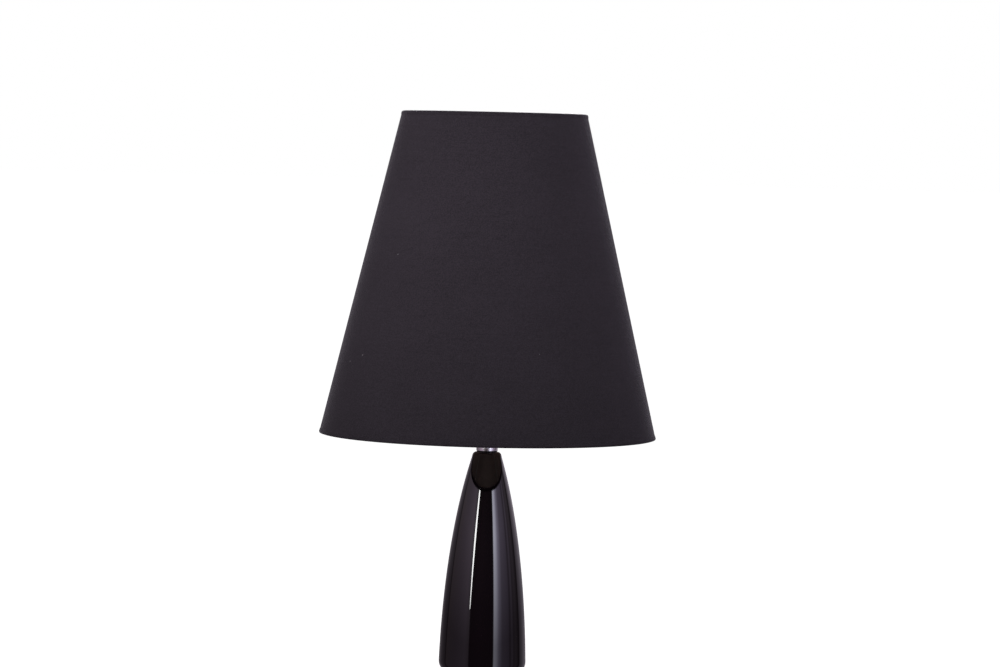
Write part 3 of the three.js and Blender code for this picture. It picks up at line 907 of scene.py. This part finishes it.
def lap_amount(angle, r):
    """0 away from the overlap at the back, 1 on it, with a short slope on each side."""
    along = ((angle - math.pi / 2 + math.pi) % (2 * math.pi) - math.pi) * r
    slope = 2 * MM
    inside = min(along + slope, LAP + slope - along) / slope
    t = max(0.0, min(1.0, inside))
    return t * t * (3 - 2 * t)


def sheet_faces(rows, columns):
    """Faces of a sheet with two sides and four edges, its vertices in rows, one side after the other."""
    width = columns + 1
    layer = (rows + 1) * width
    faces = []
    for i in range(rows):
        for k in range(columns):
            p = i * width + k
            faces.append([p, p + 1, p + 1 + width, p + width])
            faces.append([layer + v for v in (p + width, p + width + 1, p + 1, p)])
        for p in (i * width, i * width + columns):
            faces.append([p, p + width, p + width + layer, p + layer])
    for k in range(columns):
        for p in (k, rows * width + k):
            faces.append([p, p + 1, p + layer + 1, p + layer])
    return faces


def wrapped_skin(name, inset, thick, lap, slot, replaced, ripple=0.0):
    """A sheet rolled into a cone, from the back seam right round, with its end lapped over its start."""
    margin = CLOTH + LAYER_GAP
    z0, z1 = rim_z + margin, crown_z - margin
    rows, columns = 40, 320
    verts = []
    for depth in (inset, inset + thick):
        for i in range(rows + 1):
            z = z0 + (z1 - z0) * i / rows
            cone = shade_r(z)
            sweep = 2 * math.pi + (lap - 0.3 * MM) / cone
            for k in range(columns + 1):
                turn = sweep * k / columns
                a = math.pi / 2 + turn
                late = turn > math.pi
                rise = LAP_RISE * lap_amount(a, cone) if late and lap else 0
                wave = ripple * (math.sin(7 * a + 9 * z) + 0.6 * math.sin(17 * a - 21 * z))
                r = cone - depth + rise + wave
                verts.append((r * math.cos(a), r * math.sin(a), z))
    return add_mesh(name, verts, sheet_faces(rows, columns), "shade", slot, replaced)


def hem(name, edge_z, up, replaced):
    """Cloth folded over a wire ring: a rolled rim with an edge on each side, slightly puckered."""
    tall = low_hem_hi.z - low_hem_lo.z
    low = 1.6 * MM
    half = (HEM_IN - HEM_OUT) / 2
    middle = HEM_OUT + half

    def at(inset, rise):
        z = edge_z + up * rise
        return (shade_r(z) - inset, z)

    def fold(reach, drop):
        angles = [math.pi * k / 16 for k in range(17)]
        return [at(middle - reach * math.cos(a), low - drop * math.sin(a)) for a in angles]

    pressed = 0.3 * MM  # the cut edge is pressed flat against the cover
    outer = [
        at(HEM_OUT + pressed, tall),
        at(HEM_OUT, tall - 1.4 * MM),
        at(HEM_OUT, tall * 0.6),
        *fold(half, low),
        at(HEM_IN, tall * 0.6),
        at(HEM_IN, tall),
    ]
    inner = [
        at(HEM_IN - CLOTH, tall),
        at(HEM_IN - CLOTH, tall * 0.6),
        *reversed(fold(half - CLOTH, low - CLOTH)),
        at(HEM_OUT + CLOTH, tall * 0.6),
        at(HEM_OUT + CLOTH, tall),
    ]

    def puckered(r, angle, z):
        pucker = 0.04 * MM * (1 + math.sin(131 * angle + 2 * math.sin(9 * angle)) * math.sin(37 * angle))
        outside = r > shade_r(z) - middle
        return r - pucker + (LAP_RISE * lap_amount(angle, r) if outside else 0)

    verts, faces = turned(outer + inner, True, 720, puckered)
    return add_mesh(name, verts, faces, "shade", "hem_fabric", replaced)


def ring_wire_centre(edge_z, up):
    """Radius and height of a ring wire's centre line, inside the hem at an edge of the shade."""
    z = edge_z + up * (0.7 * MM + RING_WIRE_R)
    return shade_r(z) - RING_WIRE_OUT - RING_WIRE_R, z


def ring_wire(name, edge_z, up, replaced):
    """Round wire that holds an edge of the shade open."""
    circle = arc(ring_wire_centre(edge_z, up), RING_WIRE_R, 0, 337.5, 15)
    verts, faces = turned(circle, True, 192)
    add_mesh(name, verts, faces, "shade", "white_wire", replaced)


def arm_line():
    """Centre line of an arm, from the fitter ring down to its hook in the bottom ring wire."""
    top_z = (fitter_lo.z + fitter_hi.z) / 2
    low_z = arm_lo.z + ARM_R
    start, end = arm_lo.y - 0.4 * MM, arm_hi.y
    ring_r, ring_z = ring_wire_centre(rim_z, 1)
    foot_z = ring_z + RING_WIRE_R
    line = bezier((start, top_z), (60 * MM, top_z), (110 * MM, low_z), (end - 6 * MM, low_z), 34)
    hook = [(end - 6 * MM, low_z), (end + 1 * MM, low_z), (ring_r, low_z + 0.4 * MM), (ring_r, foot_z)]
    return line + bezier(*hook, 14)[1:]


def carrier():
    """Flat fitter ring and the three bent arms that are welded to it and to the bottom wire ring."""
    inner = 20.6 * MM
    outer = fitter_hi.x
    z0, z1 = fitter_lo.z, fitter_hi.z
    plate = [(inner, z0), (outer, z0), (outer, z1), (inner, z1)]
    ring_piece("carrier_ring", plate, "shade", "white_wire", "fitter_ring", 0.4 * MM)
    line = arm_line()

    def slimmer_hook(t):
        return 1 - 0.2 * max(0.0, min(1.0, (t - 0.72) / 0.15))

    for i in range(3):
        turn = Matrix.Rotation(math.pi / 2 + 2 * math.pi * i / 3, 3, "Z")
        path = [turn @ Vector((r, 0, z)) for r, z in line]
        verts, faces = tube(path, ARM_R, 20, slimmer_hook)
        node = f"carrier_arm_{i + 1}"
        add_mesh(f"arm_{i + 1}", verts, faces, "shade", "white_wire", node)


def shade():
    """Cover, lining, hems and wires, and the carrier that they hang from."""
    cloth = wrapped_skin("shade_cloth", COVER_OUT, CLOTH, LAP, "shade_fabric", "shade_cover", RIPPLE)
    wrapped_skin("shade_lining", LINER_OUT, LINER_SHEET, 0.0, "gold_lining", "shade_liner")
    hems = [hem("hem_bottom", rim_z, 1, "bottom_hem"), hem("hem_top", crown_z, -1, "top_hem")]
    ring_wire("wire_bottom", rim_z, 1, "bottom_ring_wire")
    ring_wire("wire_top", crown_z, -1, "top_ring_wire")
    carrier()


# ---- floor, light and camera ---------------------------------------------------

CAMERA_LENS = 144.8
CAMERA_AWAY = 4.1614
CAMERA_HEIGHT = 0.5478
CAMERA_DOWN = math.radians(2.65)
CAMERA_ROLL = math.radians(1.35)
CAMERA_PAN = math.radians(0.146)

FLOOR_SIZE = 60.0
FLOOR_BELOW = 0.2 * MM  # clear of the felt's face
FLOOR_GLOW = 0.8

# how bright the world is to the camera, to surfaces, and in reflections
WORLD_SEEN = 1.0
WORLD_LIT = 0.3
WORLD_MIRRORED = 0.03

# area lights: name, place, aim, width, spread in degrees and power in watts
LIGHTS = (
    ("key", (-0.7, -0.63, 0.78), (0, 0, 0.5), 0.4, 66, 1.3),
    ("fill", (0.75, -0.43, 0.78), (0, 0, 0.5), 0.4, 66, 0.7),
    ("bounce_left", (-0.12, 0.1, 0.03), (0, -0.12, 0.36), 0.12, 90, 0.08),
    ("bounce_right", (0.12, 0.1, 0.03), (0, -0.12, 0.36), 0.12, 90, 0.08),
)


def camera():
    """Long-lens camera in front of the lamp, aimed slightly down and rolled."""
    data = bpy.data.cameras.new("camera")
    data.lens = CAMERA_LENS
    data.sensor_width = 36.0
    obj = bpy.data.objects.new("camera", data)
    bpy.context.scene.collection.objects.link(obj)
    bpy.context.scene.camera = obj
    ahead = Vector((math.sin(CAMERA_PAN), math.cos(CAMERA_PAN), 0))
    right = Vector((math.cos(CAMERA_PAN), -math.sin(CAMERA_PAN), 0))
    look = math.cos(CAMERA_DOWN) * ahead - math.sin(CAMERA_DOWN) * Vector((0, 0, 1))
    up = math.sin(CAMERA_DOWN) * ahead + math.cos(CAMERA_DOWN) * Vector((0, 0, 1))
    side = math.cos(CAMERA_ROLL) * right + math.sin(CAMERA_ROLL) * up
    top = math.cos(CAMERA_ROLL) * up - math.sin(CAMERA_ROLL) * right
    rows = Matrix((side, top, -look)).transposed()
    obj.matrix_world = Matrix.Translation((0, -CAMERA_AWAY, CAMERA_HEIGHT)) @ rows.to_4x4()


def floor():
    """Wide pale floor that blends into the white behind it."""
    mesh = bpy.data.meshes.new("floor")
    sides = ((-1, -1), (1, -1), (1, 1), (-1, 1))
    corners = [(x * FLOOR_SIZE, y * FLOOR_SIZE, -FLOOR_BELOW) for x, y in sides]
    mesh.from_pydata(corners, [], [[0, 1, 2, 3]])
    obj = bpy.data.objects.new("floor", mesh)
    bpy.context.scene.collection.objects.link(obj)
    m = Nodes("pale_floor", Roughness=0.9, Specular_IOR_Level=0.0, Emission_Strength=FLOOR_GLOW)
    m.shader.inputs["Emission Color"].default_value = (1, 1, 1, 1)
    m.color(m.mix(m.noise(3.0), (0.9, 0.9, 0.9), (0.93, 0.93, 0.93)))
    mesh.materials.append(m.material)
    obj.visible_glossy = False
    obj.visible_diffuse = False


def soft_light(name, where, aim, size, spread, power):
    """An area light that lights surfaces but isn't mirrored in them."""
    data = bpy.data.lights.new(name, "AREA")
    data.shape = "RECTANGLE"
    data.size = data.size_y = size
    data.spread = math.radians(spread)
    data.energy = power
    obj = bpy.data.objects.new(name, data)
    bpy.context.scene.collection.objects.link(obj)
    obj.location = where
    obj.rotation_mode = "QUATERNION"
    obj.rotation_quaternion = (Vector(aim) - Vector(where)).to_track_quat("-Z", "Y")
    obj.visible_camera = False
    obj.visible_glossy = False


def glow_only(obj):
    """A stage object that lights nothing and only shows as a reflection."""
    obj.visible_camera = False
    obj.visible_diffuse = False
    obj.visible_shadow = False
    obj.visible_transmission = False


def band(name, stations, away, material, steps=1):
    """Upright band around the lamp, through stations of a height and two azimuths.

    An azimuth is in degrees, 0 at the front and 90 on the right.
    """
    verts = []
    for z, left, right in stations:
        for k in range(steps + 1):
            a = math.radians(left + (right - left) * k / steps)
            verts.append((math.sin(a) * away, -math.cos(a) * away, z))
    width = steps + 1
    corners = [row * width + k for row in range(len(stations) - 1) for k in range(steps)]
    faces = [[p, p + 1, p + 1 + width, p + width] for p in corners]
    mesh = bpy.data.meshes.new(name)
    mesh.from_pydata(verts, [], faces)
    mesh.materials.append(material)
    obj = bpy.data.objects.new(name, mesh)
    bpy.context.scene.collection.objects.link(obj)
    glow_only(obj)


# the room around the lamp as its glaze mirrors it: azimuth in degrees, then red, green and blue
ROOM_TONES = (
    (-180, 1.0, 0.9, 1.0),
    (-140, 0.4, 0.34, 0.4),
    (-118, 0.26, 0.22, 0.26),
    (-115, 0.05, 0.04, 0.05),
    (-111, 0.44, 0.36, 0.4),
    (-73, 0.72, 0.58, 0.74),
    (-48, 1.0, 0.82, 1.04),
    (-38, 0.8, 0.66, 0.8),
    (-36, 0.05, 0.04, 0.045),
    (-8, 0.08, 0.055, 0.07),
    (28, 0.05, 0.04, 0.05),
    (30, 6.9, 6.9, 8.1),
    (37, 5.6, 5.5, 6.8),
    (44, 2.6, 2.4, 3.2),
    (54, 1.1, 0.95, 1.3),
    (74, 0.75, 0.63, 0.88),
    (79, 0.34, 0.28, 0.37),
    (86, 0.75, 0.63, 0.84),
    (92, 0.34, 0.28, 0.35),
    (100, 0.42, 0.35, 0.43),
    (109, 0.2, 0.17, 0.2),
    (115, 0.05, 0.04, 0.05),
    (119, 0.6, 0.51, 0.62),
    (140, 0.95, 0.84, 1.0),
    (180, 1.0, 0.9, 1.0),
)
ROOM_PEAK = 8.5
ROOM_FADE = 0.3  # how much of the tone is left at floor level
ROOM_FADE_LOW = -0.05
ROOM_FADE_HIGH = 0.6
ROOM_AWAY = 2.3
STRIP_AWAY = 2.2
STRIP_STRENGTH = 24

# heights of the room's wall and of the strip light, each with the azimuths of its two edges
ROOM_WALL = ((-1.5, -180, 180), (3.4, -180, 180))
STRIP_LIGHT = ((0.15, -38.5, -37.3), (0.6, -37.1, -31.7), (1.5, -30, -24.6))


def glow(name):
    """An emission material, its node graph and its emission node."""
    material = bpy.data.materials.new(name)
    material.use_nodes = True
    graph = Graph(material.node_tree)
    graph.tree.nodes.clear()
    emission = graph.node("ShaderNodeEmission")
    graph.node("ShaderNodeOutputMaterial", {"Surface": emission.outputs[0]})
    return material, graph, emission


def room_glow():
    """Emission that changes with the angle about the lamp and fades towards the floor."""
    material, graph, emission = glow("room_glow")
    coords = graph.node("ShaderNodeTexCoord")
    split = graph.node("ShaderNodeSeparateXYZ", {0: coords.outputs["Object"]})
    ahead = graph.math("MULTIPLY", split.outputs[1], -1.0)
    azimuth = graph.math("ARCTAN2", split.outputs[0], ahead)
    ramp = graph.node("ShaderNodeValToRGB", {0: graph.remap(azimuth, -math.pi, math.pi)})
    stops = ramp.color_ramp.elements
    stops[1].position = 1
    for degrees, *_ in ROOM_TONES[1:-1]:
        stops.new((degrees + 180) / 360)
    for stop, (_, *tone) in zip(stops, ROOM_TONES):
        stop.color = (*(level / ROOM_PEAK for level in tone), 1)
    graph.link(ramp.outputs[0], emission.inputs["Color"])
    fade = graph.remap(split.outputs[2], ROOM_FADE_LOW, ROOM_FADE_HIGH, ROOM_PEAK * ROOM_FADE, ROOM_PEAK)
    graph.link(fade, emission.inputs["Strength"])
    return material


def strip_glow():
    """Emission of the narrow strip light."""
    material, _, emission = glow("strip_glow")
    emission.inputs["Strength"].default_value = STRIP_STRENGTH
    return material


def world():
    """White to the camera, soft grey to surfaces, and dark in reflections."""
    studio_world = bpy.data.worlds.new("studio")
    bpy.context.scene.world = studio_world
    studio_world.use_nodes = True
    graph = Graph(studio_world.node_tree)
    graph.tree.nodes.clear()
    ray = graph.node("ShaderNodeLightPath").outputs

    def backdrop(strength):
        values = {"Color": (1, 1, 1, 1), "Strength": strength}
        return graph.node("ShaderNodeBackground", values).outputs[0]

    def choose(test, otherwise, chosen):
        values = {0: ray[test], 1: otherwise, 2: chosen}
        return graph.node("ShaderNodeMixShader", values).outputs[0]

    unseen = choose("Is Glossy Ray", backdrop(WORLD_LIT), backdrop(WORLD_MIRRORED))
    seen = choose("Is Camera Ray", unseen, backdrop(WORLD_SEEN))
    graph.node("ShaderNodeOutputWorld", {"Surface": seen})


def studio():
    """World, floor, lights, and the surroundings that the glaze mirrors."""
    bpy.context.scene.view_settings.view_transform = "Standard"
    world()
    floor()
    for light in LIGHTS:
        soft_light(*light)
    band("room", ROOM_WALL, ROOM_AWAY, room_glow(), 180)
    band("strip", STRIP_LIGHT, STRIP_AWAY, strip_glow())


camera()
studio()
dress_cad_nodes()
glazed_body()
felt_pad()
outlet_grommet()
neck()
holder_dome()
holder_barrel()
push_bar()
socket_insert()
socket_shell()
plunger_head()
plunger_spring()
collar()
collar_washer()
bulb_contact()
bulb_screw_cap()
bulb_globe()
shade()
